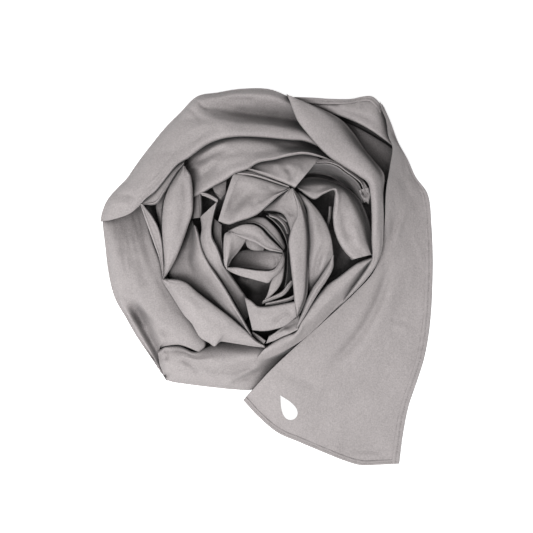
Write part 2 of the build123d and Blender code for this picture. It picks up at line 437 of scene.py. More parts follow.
# ---------------------------------------------------------------- the folds of the rosette
# Each fold: its name, the CAD node it stands for, its rails from the outer edge to the inner
# one, how fold_grid shapes it, and its grooves and ridges as press takes them: path, width,
# depth and fade.  A fold's place in the list seeds its wrinkles.
FOLDS = [
    # The outer turn.
    ("outer_back_fold", "outer_turn", [
     [(-238, 41, 8), (-236, 53, 9), (-228, 72, 12), (-213, 90, 12), (-200, 103, 12), (-180, 130, 12),
      (-158, 160, 12), (-138, 184, 12), (-118, 204, 12), (-92, 229, 12), (-60, 235, 12), (-30, 240, 12),
      (16, 240, 12), (45, 229, 14), (70, 215, 14), (100, 195, 14)],
     [(-224, 42, 20), (-220, 58, 24), (-212, 74, 26), (-200, 88, 27), (-187, 101, 27), (-167, 128, 27),
      (-145, 157, 27), (-126, 180, 27), (-109, 198, 27), (-88, 221, 25), (-58, 227, 24), (-29, 230, 24),
      (15, 229, 23), (43, 219, 22), (66, 206, 21), (98, 188, 20)],
     [(-208, 46, 31), (-203, 62, 34), (-192, 78, 36), (-180, 92, 37), (-168, 106, 37), (-150, 130, 37),
      (-130, 155, 37), (-113, 174, 37), (-100, 189, 35), (-84, 208, 28), (-57, 210, 20), (-28, 207, 14),
      (14, 202, 10), (42, 197, 10), (66, 190, 12), (98, 178, 14)],
     [(-196, 50, 36), (-189, 66, 39), (-177, 82, 41), (-165, 94, 42), (-153, 107, 42), (-136, 130, 42),
      (-117, 151, 42), (-101, 168, 42), (-90, 182, 41), (-76, 197, 37), (-52, 198, 32), (-25, 195, 28),
      (16, 190, 26), (43, 186, 26), (68, 181, 26), (98, 170, 26)],
     [(-186, 56, 40), (-178, 70, 42), (-165, 84, 44), (-152, 97, 45), (-140, 110, 46), (-122, 131, 46),
      (-104, 148, 46), (-89, 163, 46), (-79, 175, 46), (-66, 186, 46), (-46, 188, 46), (-22, 185, 45),
      (16, 182, 44), (44, 178, 44), (68, 174, 43), (98, 162, 42)],
     [(-174, 66, 43), (-166, 75, 45), (-153, 85, 47), (-142, 98, 48), (-132, 111, 48), (-120, 125, 48),
      (-104, 135, 48), (-81, 152, 48), (-70, 158, 48), (-56, 163, 48), (-40, 166, 48), (-20, 167, 48),
      (16, 165, 48), (45, 162, 48), (70, 160, 46), (100, 148, 44)]],
     dict(drops=(12, 34), ends=(16, 0), roll=3),
     [([(-222, 79), (-200, 80), (-180, 76)], 4, -1.6), ([(-222, 66), (-205, 68), (-188, 66)], 5, 1.8),
      ([(-90, 223), (-84, 214), (-72, 209)], 3, -2),
      ([(-60, 222), (-30, 224), (0, 222)], 5, -3.5, (0.5, 0.2)),
      ([(-128, 190), (-95, 194), (-50, 182)], 6, -1.8), ([(-110, 168), (-80, 186), (-30, 178)], 5, 1.4),
      ([(-170, 128), (-150, 142), (-120, 146)], 7, -1.3),
      ([(-150, 96), (-130, 124), (-100, 150), (-60, 170), (-10, 172)], 5, 1.6),
      ([(-40, 208), (0, 200), (40, 196)], 6, -3), ([(-196, 96), (-170, 118), (-146, 150)], 5, 1.2),
      ([(-110, 214), (-96, 204), (-84, 190)], 4, -1.6)]),
    ("left_fold", "outer_turn", [
     [(-236, 50, 4), (-234, 28, 7), (-231, 4, 10), (-227, -30, 12), (-221, -60, 12), (-214, -80, 12),
      (-200, -104, 12), (-184, -132, 12), (-164, -162, 12), (-148, -186, 9), (-139, -199, 6)],
     [(-222, 52, 6), (-219, 30, 14), (-216, 8, 24), (-211, -28, 30), (-206, -60, 30), (-203, -80, 29),
      (-193, -102, 27), (-178, -130, 26), (-161, -158, 23), (-148, -182, 17), (-140, -196, 8)],
     [(-202, 56, 6), (-197, 32, 12), (-191, 6, 22), (-184, -28, 33), (-177, -62, 37), (-170, -88, 38),
      (-160, -108, 39), (-151, -122, 39), (-146, -134, 37), (-146, -146, 31), (-152, -155, 20)],
     [(-186, 62, 6), (-178, 36, 13), (-171, 8, 23), (-161, -28, 33), (-150, -62, 38), (-139, -88, 40),
      (-129, -106, 42), (-121, -121, 42), (-118, -132, 40), (-117, -140, 37), (-120, -145, 33)],
     [(-173, 68, 8), (-166, 40, 16), (-157, 10, 26), (-146, -20, 33), (-140, -46, 35), (-126, -70, 36),
      (-109, -94, 37), (-93, -114, 37), (-83, -130, 36), (-79, -146, 34), (-88, -156, 32)]],
     dict(drops=(10, 20), ends=(6, 24)),
     [([(-201, -70), (-186, -92), (-173, -112), (-161, -134), (-152, -154),
        (-147, -172), (-143, -194)], 10, -21, (0.28, 0.03)),
      ([(-184, -88), (-166, -105), (-150, -120), (-128, -136)], 5.5, -5),
      ([(-176, -112), (-160, -132), (-152, -150)], 4, 3), ([(-216, -74), (-203, -73), (-192, -80)], 3, -2),
      ([(-212, 0), (-200, -30), (-196, -60)], 9, 1.8), ([(-186, -6), (-176, -30), (-170, -60)], 8, -1.8)]),
    ("bottom_fold", "outer_turn", [
     [(-139, -199, 5), (-130, -202, 9), (-110, -205, 11), (-87, -208, 12), (-60, -211, 12),
      (-40, -213, 12), (-10, -214, 9), (15, -207, 6), (50, -190, 8), (80, -175, 6)],
     [(-143, -189, 5), (-132, -188, 19), (-112, -191, 25), (-87, -193, 27), (-60, -195, 27),
      (-38, -197, 26), (-8, -196, 16), (22, -186, 7), (54, -172, 6), (80, -160, 8)],
     [(-148, -176, 7), (-135, -172, 25), (-114, -173, 32), (-87, -176, 34), (-60, -178, 35),
      (-38, -178, 34), (-4, -176, 27), (28, -167, 14), (56, -155, 8), (78, -146, 12)],
     [(-150, -164, 9), (-137, -159, 25), (-116, -160, 31), (-90, -166, 35), (-70, -164, 38),
      (-40, -162, 38), (-2, -162, 37), (30, -158, 30), (57, -146, 20), (74, -140, 12)],
     [(-151, -155, 12), (-137, -148, 23), (-118, -147, 26), (-95, -156, 30), (-78, -150, 28),
      (-60, -142, 26), (-40, -142, 26), (0, -146, 30), (32, -146, 26), (60, -130, 14)]],
     dict(drops=(10, 12), ends=(3, 0)),
     [([(-118, -164), (-98, -178), (-84, -192)], 4, -2.4),
      ([(-62, -209), (-30, -193), (-5, -180), (15, -164)], 5, 3.6, (0.3, 0.4)),
      ([(-143, -150), (-137, -158), (-140, -170)], 3.5, -4),
      ([(-80, -186), (-40, -182), (0, -172)], 6, -2.4), ([(-45, -206), (-15, -193), (8, -181)], 4, -3.4),
      ([(-128, -176), (-134, -190), (-138, -198)], 4, -2.5)]),
    # The band folded over at the upper right, and the collar beyond it.
    ("over_fold_band", "over_fold", [
     [(52, 227, 26), (92, 211, 26), (125, 193, 26), (143, 174, 25), (160, 149, 25), (176, 129, 31),
      (189, 110, 41), (187.5, 80, 46), (188, 40, 47), (186, 0, 46), (180, -20, 43), (173, -33, 40),
      (160, -50, 37), (145, -66, 33), (131, -80, 27), (116, -96, 18)],
     [(50, 228, 30), (79, 214, 36), (106, 196, 40), (124, 176, 43), (142, 155, 47), (160, 136, 50),
      (178, 110, 53), (182, 78, 54), (182, 38, 54), (181, -4, 52), (176, -23, 49), (166, -39, 44),
      (152, -57, 39), (141, -69, 36), (130, -80, 30), (115, -97, 18)],
     [(47, 229, 31), (64, 214, 40), (84, 194, 48), (104, 170, 52), (124, 150, 55), (148, 128, 57),
      (170, 104, 59), (177, 72, 59), (177, 32, 58), (176, -8, 55), (171, -26, 50), (160, -44, 45),
      (147, -61, 40), (139, -70, 37), (129, -79, 31), (114, -98, 18)],
     [(44, 231, 28), (50, 215, 36), (60, 190, 44), (75, 170, 49), (90, 152, 51), (114, 130, 53),
      (148, 109, 54), (164, 97, 55), (168, 80, 56), (170, 50, 56), (170, 10, 55), (171, -14, 53),
      (167, -24, 49), (155, -42, 44), (140, -62, 39), (128, -78, 32), (113, -98, 18)]],
     dict(drops=(26, 34), ends=(16, 0), roll=3),
     [([(112, 186), (134, 162), (150, 140)], 6, 1.2), ([(92, 176), (118, 152), (146, 128)], 6, -1.8),
      ([(60, 222), (80, 206), (96, 188)], 6, -1.5)]),
    ("collar_wall", "collar", [
     [(50, 227, 24), (80, 226, 22), (110, 224, 20), (140, 224, 20), (158, 228, 22), (172, 228, 24),
      (184, 217, 25), (190, 207, 25)],
     [(53, 224, 22), (82, 219, 24), (112, 214, 26), (141, 209, 31), (158, 206, 34), (173, 202, 35),
      (184, 194, 33), (195, 185, 26)],
     [(56, 221, 18), (84, 212, 19), (112, 203, 22), (136, 194, 31), (153, 186, 38), (169, 177, 40),
      (184, 167, 38), (201, 155, 30)]],
     dict(drops=(20, 32), roll=2),
     [([(110, 216), (135, 206), (160, 198), (182, 188)], 5, -2.4),
      ([(60, 223), (90, 219), (130, 215)], 4, -3), ([(150, 226), (152, 212), (148, 200)], 3, 1)]),
    ("collar_hollow", "collar", [
     [(70, 214, 5), (100, 204, 6), (128, 192, 8), (150, 182, 9), (172, 170, 9), (192, 158, 8),
      (204, 150, 6)],
     [(60, 206, 3), (88, 186, 3), (112, 164, 3), (138, 142, 4), (160, 122, 5), (184, 102, 6),
      (208, 98, 4)]],
     dict(crown=1, drops=(2, 2), roll=1), []),
    # The second turn, left side and back.
    ("left_strip_upper", "second_turn_upper", [
     [(-177, 66, 42), (-158, 82, 43), (-143, 100, 43), (-124, 122, 42), (-111, 131, 40)],
     [(-173, 65, 47), (-152, 66, 50), (-140, 82, 52), (-130, 99, 52), (-120, 115, 50), (-111, 126, 48)]],
     dict(crown=3, drops=(20, 34)), []),
    ("left_strip_lower", "second_turn_upper", [
     [(-176, 66, 47), (-170, 48, 50), (-163, 28, 51), (-155, 6, 51), (-148, -14, 50), (-144, -34, 48),
      (-142, -46, 46)],
     [(-172, 65, 48), (-160, 50, 49), (-151, 35, 50), (-145.5, 20, 50), (-142.5, 2, 50), (-141, -22, 49),
      (-141, -46, 46)]],
     dict(crown=1.5, drops=(34, 34), roll=2), []),
    ("left_inner_slip", "second_turn_upper", [
     [(-152, 72, 38), (-153, 60, 36), (-149, 42, 35), (-146, 20, 36)],
     [(-138, 84, 42), (-142, 62, 42), (-144, 42, 40), (-143, 22, 38)]],
     dict(crown=1, drops=(20, 10)), []),
    ("left_leaf", "second_turn_upper", [
     [(-112, 124, 46), (-125, 104, 50), (-134, 88, 52), (-140, 70, 53), (-143, 45, 53), (-143, 20, 53),
      (-141, -5, 52), (-140, -25, 50), (-142, -46, 46)],
     [(-109, 121, 48), (-101, 109, 53), (-98, 92, 56), (-97, 70, 57), (-98, 52, 57), (-104, 34, 57),
      (-113, 8, 56), (-122, -14, 53), (-131, -31, 50), (-141, -46, 46)]],
     dict(crown=6, drops=(34, 34)),
     [([(-128, 84), (-126, 50), (-130, 15)], 8, 1.5),
      ([(-113, 112), (-109, 84), (-110, 50), (-120, 14)], 5, -2.6),
      ([(-108, 112), (-102, 84), (-103, 56)], 3, 1.2)]),
    ("second_band", "second_turn_upper", [
     [(-112, 124, 26), (-98, 142, 30), (-80, 157, 31), (-60, 168, 31), (-30, 174, 31), (10, 173, 29),
      (50, 168, 24), (90, 152, 20), (125, 128, 20)],
     [(-104, 108, 34), (-92, 124, 42), (-75, 140, 46), (-55, 152, 47), (-27, 158, 47), (9, 157, 45),
      (49, 152, 38), (84, 145, 36), (125, 126, 34)],
     [(-100, 92, 40), (-88, 104, 47), (-70, 118, 50), (-49, 132, 52), (-28, 138, 53), (-4, 142, 53),
      (34, 144, 52), (76, 143, 50), (125, 124, 42)],
     [(-97, 76, 46), (-85, 81, 54), (-68, 91, 57), (-46, 103, 58), (-33, 112, 59), (-15, 118, 60),
      (0, 127, 60), (25, 132, 60), (45, 137, 60), (70, 140, 59), (100, 133, 54), (125, 121, 48)]],
     dict(drops=(12, 34), ends=(16, 0)),
     [([(-101, 122), (-80, 134), (-58, 145), (-38, 150)], 6, -5, (0.3, 0.4)),
      ([(-99, 122), (-94, 108), (-90, 96)], 6, -4, (0.2, 0.5)),
      ([(-70, 120), (-40, 133), (-10, 140)], 6, 2), ([(24, 155), (45, 151), (78, 150)], 5, -3, (0.4, 0.4)),
      ([(-86, 110), (-72, 118), (-60, 130)], 4, -2),
      ([(-84, 92), (-60, 106), (-36, 118), (-8, 126)], 4, 1.6),
      ([(-94, 132), (-70, 148), (-40, 160)], 4, 1.2), ([(6, 133), (34, 138), (66, 140)], 3, -1.4)]),
    ("back_petal", "third_turn_left", [
     [(-20, 124, 36), (0, 134, 36), (30, 142, 36), (60, 146, 38), (92, 134, 50)],
     [(-16, 117, 54), (5, 110, 59), (24, 103, 60), (42, 96, 62), (55, 90, 62)]],
     dict(crown=5, ends=(0, 34), drops=(12, 34)),
     [([(40, 122), (50, 110), (47, 97)], 4, -2.4), ([(20, 128), (35, 118), (40, 104)], 5, 1.6),
      ([(60, 128), (62, 114), (56, 100)], 4, 1.5)]),
    ("rim_flap", "second_turn_upper", [
     [(86, 131, 53), (105, 133, 52), (120, 129, 51), (135, 119, 50), (150, 108, 49), (160, 98, 48),
      (168, 84, 46)],
     [(88, 127, 57), (105, 127, 57), (120, 122, 57), (131, 114, 56), (144, 105, 55), (153, 97, 53),
      (158, 87, 48), (164, 78, 44)]],
     dict(crown=1, drops=(14, 14), roll=2), []),
    ("rim_inner_slope", "second_turn_upper", [
     [(84, 127, 52), (105, 127, 54), (120, 122, 53), (131, 114, 52), (144, 105, 51), (152, 96, 49),
      (157, 82, 44)],
     [(64, 108, 10), (88, 112, 10), (108, 108, 12), (124, 99, 15), (138, 86, 18), (148, 70, 22),
      (156, 56, 26)]],
     dict(crown=-3, drops=(10, 8)), []),
    ("crumpled_corner", "second_turn_upper", [
     [(166, 90, 48), (168, 78, 47), (166, 66, 43)],
     [(159, 89, 48), (161, 79, 45), (162, 69, 43)],
     [(151, 86, 46), (155, 77, 43), (159, 68, 40)]],
     dict(drops=(10, 14), roll=1.5),
     [([(154, 84), (160, 79), (167, 82)], 2.5, -3), ([(156, 74), (162, 72), (168, 70)], 2.5, 2)]),
    # The right side, from the outside in.
    ("right_leaf", "second_turn_lower", [
     [(57, 97, 40), (75, 106, 30), (98, 105, 26), (120, 98, 26), (138, 88, 28), (152, 74, 32),
      (161, 56, 35), (167, 38, 37), (171, 12, 40), (173, -9, 47)],
     [(58, 92, 50), (75, 92, 50), (97, 94, 52), (117, 92, 53), (130, 82, 54), (139, 67, 55), (148, 48, 56),
      (154, 30, 56), (160, 8, 55), (168, -10, 52)],
     [(62, 87, 54), (72, 79, 56), (84, 73, 58), (99, 81, 60), (114, 86, 62), (114, 70, 61), (112, 50, 61),
      (114, 28, 61), (121, 8, 60), (131, -7, 58), (141, -17, 55)]],
     dict(drops=(8, 32), ends=(10, 30)),
     [([(118, 92), (119, 70), (116, 45)], 3.5, 2.5), ([(130, 60), (130, 35), (138, 8)], 7, -3.5),
      ([(140, 40), (147, 16), (155, -4)], 5, 2.6), ([(112, 90), (100, 90), (86, 84)], 4, -1.6)]),
    ("long_front_band", "second_turn_lower", [
     [(170, -22, 40), (155, -43, 37), (140, -64, 34), (128, -80, 32), (110, -98, 30), (92, -116, 30),
      (72, -134, 30), (50, -149, 30), (25, -162, 30), (-8, -174, 30)],
     [(170, -18, 48), (152, -32, 50), (139, -45, 51), (126, -58, 51), (107, -76, 51), (88, -94, 50),
      (72, -112, 48), (56, -133, 46), (30, -146, 44), (4, -158, 40)],
     [(171, -14, 49), (150, -22, 50), (140, -29, 51), (122, -43, 51), (105, -55, 50), (92, -70, 50),
      (80, -86, 49), (70, -102, 48), (64, -110, 47), (61, -119, 46), (56, -126, 45), (44, -130, 44),
      (28, -138, 43), (12, -149, 41)]],
     dict(drops=(20, 34), roll=4),
     [([(120, -62), (100, -84), (78, -108)], 5, 1.6)]),
    ("front_crumple", "third_turn_right", [
     [(12, -143, 42), (24, -139, 44), (36, -133, 46), (48, -128, 47), (60, -122, 47)],
     [(17, -132, 46), (26, -126, 47), (35, -119, 47), (45, -112, 47), (54, -106, 46), (62, -100, 45)]],
     dict(crown=1, drops=(24, 20), ends=(24, 0), roll=1.5),
     [([(20, -135), (34, -127), (50, -121)], 4, 2.5),
      ([(38, -120), (48, -116), (58, -110)], 4, -3, (0.3, 0.1))]),
    ("front_small_fold", "third_turn_right", [
     [(-8, -130, 40), (1, -138, 42), (9, -144, 43)],
     [(-8, -126, 43), (3, -133, 45), (11, -139, 45)]],
     dict(crown=0.5, drops=(20, 24), roll=1.2), []),
    ("right_middle_petal", "third_turn_right", [
     [(60, 84, 50), (72, 75, 53), (83, 64, 55), (92, 53, 56), (101, 38, 57), (108, 20, 58), (111, 5, 58),
      (112, -12, 57), (106, -27, 53), (97, -42, 46), (88, -54, 38), (84, -64, 30)],
     [(61, 80, 50), (68, 67, 53), (73, 58, 55), (75, 44, 57), (77, 25, 58), (78, 5, 58), (76, -18, 57),
      (75, -40, 50), (74, -54, 42), (74, -66, 32)]],
     dict(crown=7, drops=(34, 34), ends=(0, 10)),
     [([(112, 16), (101, 6), (92, -10), (87, -30), (83, -56)], 4.6, -5, (0.5, 0.4)),
      ([(108, -4), (100, -16), (92, -40)], 4.5, 2.2, (0.4, 0.4)),
      ([(85, 44), (84, 10), (81, -20)], 5, 1.5)]),
    ("middle_petal_edge", "third_turn_right", [
     [(113, -10, 57), (112, -30, 57), (104, -46, 56), (92, -64, 55), (80, -84, 53), (70, -102, 51),
      (59, -120, 49)],
     [(110, -13, 57), (103, -28, 58), (93, -44, 57), (82, -60, 55), (74, -76, 53), (67, -94, 51),
      (57, -118, 48)]],
     dict(crown=2, drops=(34, 34)), []),
    ("column_inner_slope", "third_turn_right", [
     [(51, 89, 60), (57, 72, 62), (61, 56, 62), (58, 42, 62), (51, 26, 61)],
     [(46, 87, 58), (28, 73, 50), (8, 57, 43), (24, 55, 46), (38, 50, 51), (46, 35, 56), (49, 24, 60)]],
     dict(crown=1, drops=(10, 24), roll=2),
     [([(34, 68), (46, 56), (54, 46)], 4, -3)]),
    ("right_column", "third_turn_right", [
     [(53, 88, 59), (64, 74, 55), (71, 56, 54), (76, 36, 53), (78, 14, 53), (77, -10, 53), (76, -40, 52),
      (73, -72, 50), (66, -92, 48), (57, -106, 46)],
     [(51, 89, 61), (61, 70, 64), (67, 50, 65), (70, 30, 65), (71, 10, 65), (71, -12, 64), (70, -40, 63),
      (68, -70, 60), (62, -90, 56), (57, -105, 50)],
     [(50, 89, 61), (57, 70, 65), (59, 50, 66), (52, 33, 67), (46, 10, 67), (48, -14, 67), (50, -34, 66),
      (53, -60, 63), (55, -84, 59), (57, -104, 50)]],
     dict(drops=(20, 36), roll=3),
     [([(58, 24), (57, -20), (59, -66)], 5, 1.2)]),
    # The third turn, back and left.
    ("thin_back_layer", "third_turn_left", [
     [(-30, 114, 52), (-12, 114, 52), (8, 109, 52), (26, 102, 52), (48, 93, 54)],
     [(-31, 111, 54), (-12, 109, 55), (8, 104, 55), (26, 98, 55), (46, 91, 57)]],
     dict(crown=0.5, roll=1.5, drops=(20, 10)), []),
    ("large_back_petal", "third_turn_left", [
     [(-36, 112, 56), (-18, 109, 53), (5, 103, 52), (28, 96, 52), (46, 90, 56)],
     [(-47, 80, 60), (-28, 83, 60), (-8, 82, 60), (12, 82, 60), (36, 84, 59)],
     [(-59, 40, 62), (-44, 35, 65), (-28, 40, 67), (-12, 45, 68), (0, 51, 68), (14, 63, 67), (30, 77, 64),
      (48, 89, 60)]],
     dict(ends=(34, 0), drops=(16, 36), roll=3),
     [([(6, 92), (-14, 84), (-30, 70), (-42, 50), (-50, 38)], 10, -7, (0.45, 0.35)),
      ([(-32, 104), (-43, 74), (-53, 44)], 5, 1.2), ([(-5, 68), (-20, 58), (-38, 46)], 7, 2.5),
      ([(25, 92), (12, 78), (2, 64)], 6, -2)]),
    ("inner_left_strip", "third_turn_left", [
     [(-66, 44, 46), (-67, 22, 46), (-63, 4, 46), (-57, -15, 45), (-52, -32, 44)],
     [(-54, 34, 50), (-54, 16, 50), (-52, 0, 50), (-50, -18, 48), (-48, -33, 47)]],
     dict(crown=0.5, drops=(30, 20), roll=2), []),
    ("pocket_side", "third_turn_left", [
     [(-99, 84, 40), (-98, 64, 41), (-98, 44, 40)],
     [(-85, 82, 50), (-84, 62, 47), (-84, 46, 44)]],
     dict(crown=1, drops=(20, 20)), []),
    ("pocket_rim", "third_turn_left", [
     [(-87, 83, 55), (-74, 80, 57), (-60, 72, 58)],
     [(-83, 79, 55), (-72, 75, 57), (-60, 68, 58)]],
     dict(crown=1, drops=(30, 30), roll=2), []),
    ("hidden_leaf", "third_turn_left", [
     [(-70, 94, 46), (-58, 98, 46), (-47, 103, 46)],
     [(-62, 78, 51), (-56, 72, 52), (-49, 78, 48)]],
     dict(crown=2, drops=(10, 26)), []),
    ("left_long_petal", "third_turn_left", [
     [(-99, 42, 34), (-112, 20, 30), (-124, -6, 28), (-136, -32, 28), (-126, -52, 27), (-106, -60, 27),
      (-90, -72, 28), (-64, -94, 30), (-40, -112, 33), (-14, -134, 38)],
     [(-96, 34, 42), (-100, 16, 41), (-102, -6, 39), (-103, -26, 36), (-96, -42, 36), (-83, -56, 38),
      (-71, -70, 41), (-52, -90, 46), (-33, -108, 46), (-12, -131, 45)],
     [(-92, 32, 50), (-88, 20, 54), (-86, 10, 56), (-82, -5, 58), (-74, -22, 59), (-60, -43, 59),
      (-46, -65, 58), (-34, -86, 57), (-20, -110, 54), (-9, -131, 50)]],
     dict(drops=(6, 36)),
     [([(-96, 8), (-92, -20), (-76, -50)], 7, 2), ([(-104, 0), (-104, -22), (-96, -40)], 5, -2)]),
    ("left_inner_petal", "third_turn_left", [
     [(-86, 46, 52), (-84, 30, 55), (-86, 12, 55), (-83, -3, 55), (-76, -20, 54), (-62, -40, 50),
      (-48, -62, 42), (-34, -86, 36), (-20, -110, 34)],
     [(-60, 70, 58), (-66, 48, 61), (-69, 30, 62), (-68, 16, 62), (-62, 4, 62), (-56, -10, 61),
      (-52, -22, 57), (-42, -38, 46), (-28, -59, 38), (-17, -76, 34), (-12, -100, 30)]],
     dict(crown=3, drops=(30, 34)),
     [([(-78, 36), (-77, 10), (-68, -14)], 4, 1.6)]),
    # The third turn, front and right, and the large petal at the front left.
    ("front_petal", "third_turn_right", [
     [(-8, -123, 52), (8, -124, 54), (26, -121, 55), (42, -115, 55), (57, -103, 53)],
     [(-20, -73, 52), (-10, -79, 55), (0, -87, 57), (10, -88, 58), (30, -85, 58), (55, -80, 57)]],
     dict(crown=4, ends=(30, 0), drops=(34, 34)),
     [([(52, -90), (38, -100), (20, -113)], 3.5, -2.2), ([(48, -97), (34, -108), (26, -116)], 3, 1.5),
      ([(0, -95), (-4, -108), (-4, -118)], 5, 1.5)]),
    ("front_layer_upper", "third_turn_right", [
     [(6, -83, 50), (24, -76, 52), (38, -70, 53), (47, -60, 54), (52, -52, 54)],
     [(8, -79, 52), (24, -72, 54), (37, -65, 55), (44, -56, 56), (50, -49, 56)]],
     dict(crown=1, drops=(30, 30), roll=1.6), []),
    ("front_layer_lower", "third_turn_right", [
     [(10, -87, 50), (30, -83, 51), (45, -79, 52), (55, -75, 52)],
     [(12, -83, 53), (30, -79, 54), (45, -75, 55), (55, -70, 55)]],
     dict(crown=0.5, drops=(26, 26), roll=1.6), []),
    ("hidden_back_layer", "third_turn_right", [
     [(18, 50, 44), (32, 50, 45), (45, 43, 46)],
     [(22, 46, 47), (34, 45, 48), (43, 39, 49)]],
     dict(crown=0.5, drops=(20, 20), roll=1.5), []),
    ("gap_slope", "third_turn_right", [
     [(18, 52, 38), (34, 46, 38), (45, 32, 38), (50, 10, 38), (50, -12, 37), (50, -36, 36), (46, -66, 34)],
     [(12, 48, 49), (24, 39, 49), (35, 26, 48), (43, 6, 47), (43.5, -14, 47), (43, -38, 46),
      (40, -58, 44)]],
     dict(crown=1, drops=(8, 8), roll=1.5), []),
    ("gap_edge", "third_turn_right", [
     [(16, 51, 50), (30, 46, 50), (42, 36, 48), (48, 22, 44)],
     [(17, 48, 52), (29, 43, 52), (38, 34, 50), (44, 21, 46)]],
     dict(crown=0.5, drops=(6, 6), roll=1.2), []),
    ("hole_sliver", "third_turn_right", [
     [(109.5, 62, 42), (109, 50, 43), (107, 40, 44), (104, 30, 43)],
     [(107, 62, 43), (106.5, 50, 44), (104.5, 40, 45), (101.5, 30, 44)]],
     dict(crown=0.3, drops=(14, 20), roll=0.8), []),
    ("large_front_petal", "second_turn_lower", [
     [(-144, -48, 43), (-130, -70, 47), (-110, -101, 49), (-99, -113, 49), (-87, -133, 48),
      (-73, -142, 47), (-65, -147, 47), (-56, -140, 47), (-46, -141, 47), (-26, -144, 46), (-8, -147, 45),
      (10, -149, 43)],
     [(-142, -46, 46), (-118, -48, 52), (-106, -53, 54), (-92, -65, 56), (-62, -88, 57), (-40, -105, 56),
      (-18, -124, 54), (-4, -137, 51), (10, -147, 46)]],
     dict(crown=8, drops=(32, 36), roll=3),
     [([(-112, -70), (-90, -95), (-66, -118)], 7, 2), ([(-95, -85), (-70, -108), (-40, -126)], 6, -1.6)]),
    # The core.
    ("core_back_layer", "core_wrap", [
     [(-28, 38, 50), (-10, 44, 54), (8, 45, 54), (20, 36, 54), (31, 23, 54), (41, 2, 54)],
     [(-26, 34, 56), (-8, 37, 59), (6, 31, 60), (16, 21, 60), (26, 11, 60), (38, -4, 58)]],
     dict(crown=1, drops=(24, 24), roll=2), []),
    ("core_top_flap", "core_wrap", [
     [(-44, 25, 63), (-33, 31, 65), (-20, 35, 66), (-5, 34, 66), (5, 28, 66), (14, 18, 66), (24, 8, 66),
      (37, -4, 64)],
     [(-43, 23, 67), (-28, 17, 70), (-15, 12, 71), (-4, 8, 72), (6, 2, 72), (15, -3, 71), (25, -5, 70),
      (37, -7, 66)]],
     dict(crown=2, drops=(26, 26), roll=2),
     [([(-28, 24), (-8, 20), (10, 10)], 4, -1.6)]),
    ("core_left_flap", "core_wrap", [
     [(-43, 25, 64), (-49, 21, 66), (-51, 8, 66), (-51, -10, 66), (-50, -24, 65), (-47, -31, 62)],
     [(-38, 22, 69), (-42, 16, 71), (-43, 4, 71), (-44, -9, 70), (-46, -21, 68), (-46, -30, 63)],
     [(-17, 13, 63), (-20, 8, 61), (-26, -1, 58), (-32, -9, 56), (-39, -17, 56), (-45, -29, 60)]],
     dict(drops=(28, 24), roll=2),
     [([(-36, 12), (-36, 0), (-40, -14)], 4, -1.2)]),
    ("core_nub", "core_wrap", [
     [(-20, 14, 58), (-10, 12, 61), (0, 8, 61), (10, 2, 58)],
     [(-16, 1, 55), (-9, -3, 57), (-1, -4, 57), (8, -4, 55)]],
     dict(crown=3, drops=(6, 14), roll=1.5), []),
    ("core_inner_sheet", "core_flap", [
     [(-42, -12, 30), (-24, -4, 32), (-6, -2, 39), (10, -3, 48), (25, -5, 56), (37, -7, 58)],
     [(-45, -30, 37), (-28, -31, 39), (-10, -33, 45), (8, -35, 53), (22, -34, 60), (36, -20, 61)]],
     dict(crown=1, drops=(8, 8)),
     [([(24, -8), (26, -22), (24, -33)], 2, -1.5), ([(30, -10), (31, -20), (29, -28)], 2, -1.2)]),
    ("core_bottom_flap", "core_wrap", [
     [(-48, -31, 60), (-38, -37, 63), (-25, -42, 64), (-10, -46, 64), (5, -50, 64), (15, -52, 63),
      (22, -45, 63), (31, -37, 63), (38, -26, 63), (40, -16, 62), (38, -6, 61)],
     [(-46, -29, 62), (-32, -29, 67), (-18, -31, 68), (-5, -33, 69), (8, -34, 69), (18, -34, 69),
      (25, -31, 68), (30, -25, 67), (34, -18, 66), (37, -11, 65), (37, -6, 63)]],
     dict(crown=1.5, drops=(30, 20), roll=2), []),
    ("core_lower_strip", "core_wrap", [
     [(22, -42, 58), (19, -52, 58), (17, -60, 57), (14, -70, 55), (9, -79, 52)],
     [(40, -20, 57), (39, -36, 57), (36, -50, 56), (29, -62, 55), (17, -74, 52)]],
     dict(crown=3, drops=(30, 30), roll=2.5), []),
]
WRINKLE_SHARE, WRINKLE_MOST = 0.025, 1.0    # wrinkle height by fold width, and its limit


def build_folds():
    """All the folds of the coil and its core, each on the body of the node it stands for."""
    grids = {}
    for index, (name, node, rails, shape, creases) in enumerate(FOLDS):
        grid = fold_grid(rails, **shape)
        for crease in creases:
            grid = press(grid, *crease)
        halfway = len(rails[0]) // 2, len(rails[-1]) // 2
        width = np.linalg.norm(np.subtract(rails[0][halfway[0]], rails[-1][halfway[1]]))
        grid = wrinkle(grid, 10 * index, min(WRINKLE_MOST, WRINKLE_SHARE * width))
        body = "core" if node.startswith("core") else "coil"
        settle(grid_object(name, grid, cloth), body, [node])
        grids[name] = grid
    return grids


fold_grids = build_folds()


# ---------------------------------------------------------------- the layer under the coil
UNDER_RIM = [(-228, 40, 0), (-190, 118, 0), (-100, 212, 0), (20, 228, 0), (110, 205, 0), (176, 190, 0),
             (203, 164, 0), (208, 120, 0), (212, 40, 0), (200, -20, 0), (160, -80, 0), (100, -125, 0),
             (0, -195, 0), (-120, -190, 0), (-200, -80, 0), (-228, 40, 0)]
UNDER_CLOSED = 0.996    # share of the way from the rim to the middle that the layer reaches
UNDER_HEIGHT = 2.0
UNDER_RUMPLED = 165.0   # how far from the middle the lowest layer stays rumpled
UNDER_RISE = 9.0
UNDER_SEED = 900


